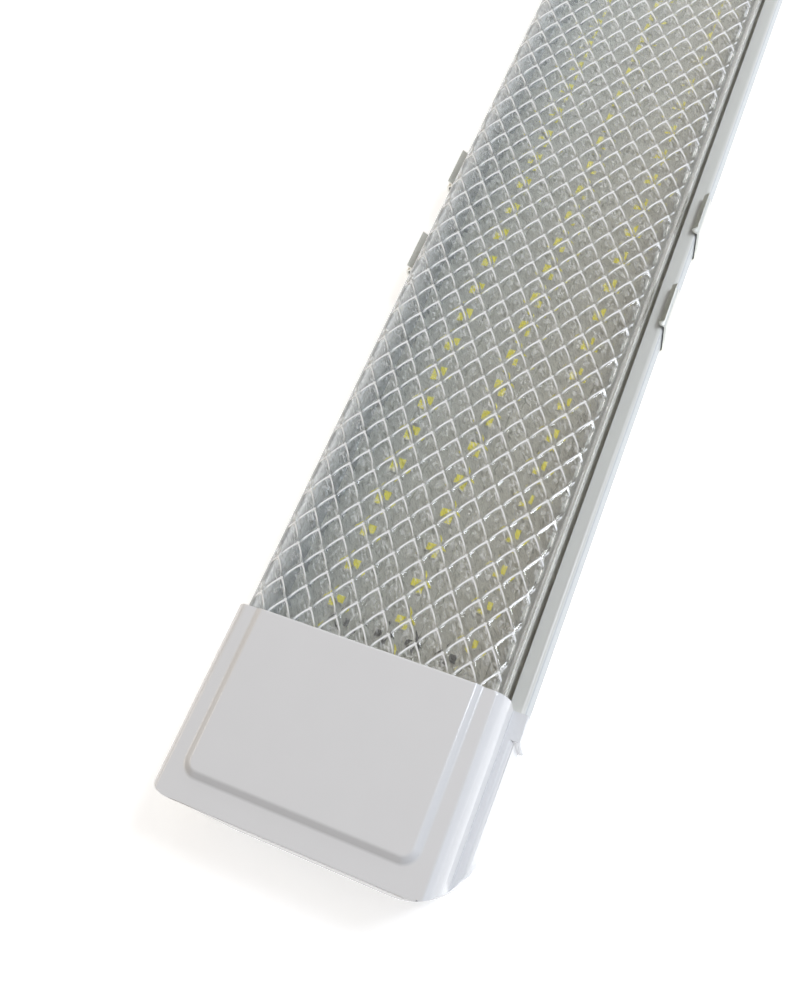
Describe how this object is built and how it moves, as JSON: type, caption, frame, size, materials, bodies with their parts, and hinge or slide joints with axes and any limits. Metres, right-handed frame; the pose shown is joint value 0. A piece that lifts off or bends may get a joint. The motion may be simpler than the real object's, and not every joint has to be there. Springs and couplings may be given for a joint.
{
  "type": "led linear light",
  "caption": "Slim ceiling batten light: folded rail, clear diamond-prism cover, white end caps and spring clips that slide along the rail and screw to a ceiling.",
  "frame": {"origin": "middle of the lamp's length and width, on the plane that the end caps' back rims rest on", "axes": "+X along the lamp towards the end with the cable inlet, +Z out of the clear cover, +Y across the lamp"},
  "size_m": [0.6, 0.0794, 0.0262],
  "materials": {
    "painted_rail": "satin white powder coat on folded steel sheet",
    "clear_cover": "clear extruded plastic with a moulded diamond prism pattern",
    "white_cap": "glossy injection-moulded white ABS",
    "zinc_steel": "zinc-plated steel",
    "black_rubber": "matt black rubber",
    "black_epoxy": "moulded black epoxy",
    "white_nylon": "moulded white nylon",
    "white_wire": "white wire insulation",
    "board_green": "green solder-masked fibreglass board",
    "ferrite": "sintered dark grey ferrite",
    "yellow_tape": "yellow polyester winding tape",
    "can_sleeve": "shrink-sleeved aluminium can",
    "film_box": "moulded yellow capacitor box",
    "fuse_body": "ceramic fuse body",
    "tinned_brass": "tinned brass",
    "brown_wire": "brown wire insulation",
    "blue_wire": "blue wire insulation",
    "green_wire": "green and yellow wire insulation",
    "red_wire": "red wire insulation",
    "black_wire": "black wire insulation",
    "strip_white": "white solder mask on an aluminium-backed strip",
    "led_body": "moulded white LED package",
    "phosphor": "yellow phosphor in clear silicone",
    "stainless_clip": "stainless spring sheet"
  },
  "bodies": {
    "lamp": {"base_rail": "painted_rail", "diffuser": "clear_cover", "end_cap_near": "white_cap", "end_cap_far": "white_cap", "cap_screws_near": "zinc_steel", "cap_screws_far": "zinc_steel", "cable_grommet": "black_rubber", "strip_chips": "black_epoxy", "strip_rivets": "white_nylon", "strip_links": "white_wire", "driver_tray": "white_nylon", "driver_board": "board_green", "driver_screws": "zinc_steel", "transformer_core": "ferrite", "transformer_winding": "yellow_tape", "filter_capacitor": "can_sleeve", "output_capacitor": "can_sleeve", "film_capacitor": "film_box", "fuse": "fuse_body", "bridge_rectifier": "black_epoxy", "driver_chip": "black_epoxy", "terminal_block": "white_nylon", "terminal_screws": "zinc_steel", "terminal_block_screw": "zinc_steel", "earth_tag": "tinned_brass", "earth_screw": "zinc_steel", "live_lead": "brown_wire", "neutral_lead": "blue_wire", "earth_lead": "green_wire", "led_positive_lead": "red_wire", "led_negative_lead": "black_wire", "led_strip_1": "strip_white", "led_packages_1": "led_body", "led_phosphors_1": "phosphor", "led_strip_2": "strip_white", "led_packages_2": "led_body", "led_phosphors_2": "phosphor", "led_strip_3": "strip_white", "led_packages_3": "led_body", "led_phosphors_3": "phosphor"},
    "clip_near": {"clip_near": "stainless_clip"},
    "clip_far": {"clip_far": "stainless_clip"}
  },
  "joints": [
    {"name": "clip_near_slide", "type": "slide", "parent": "lamp", "child": "clip_near", "axis": [1, 0, 0], "range_m": [-0.11, 0.01]},
    {"name": "clip_far_slide", "type": "slide", "parent": "lamp", "child": "clip_far", "axis": [1, 0, 0], "range_m": [-0.01, 0.343]}
  ]
}
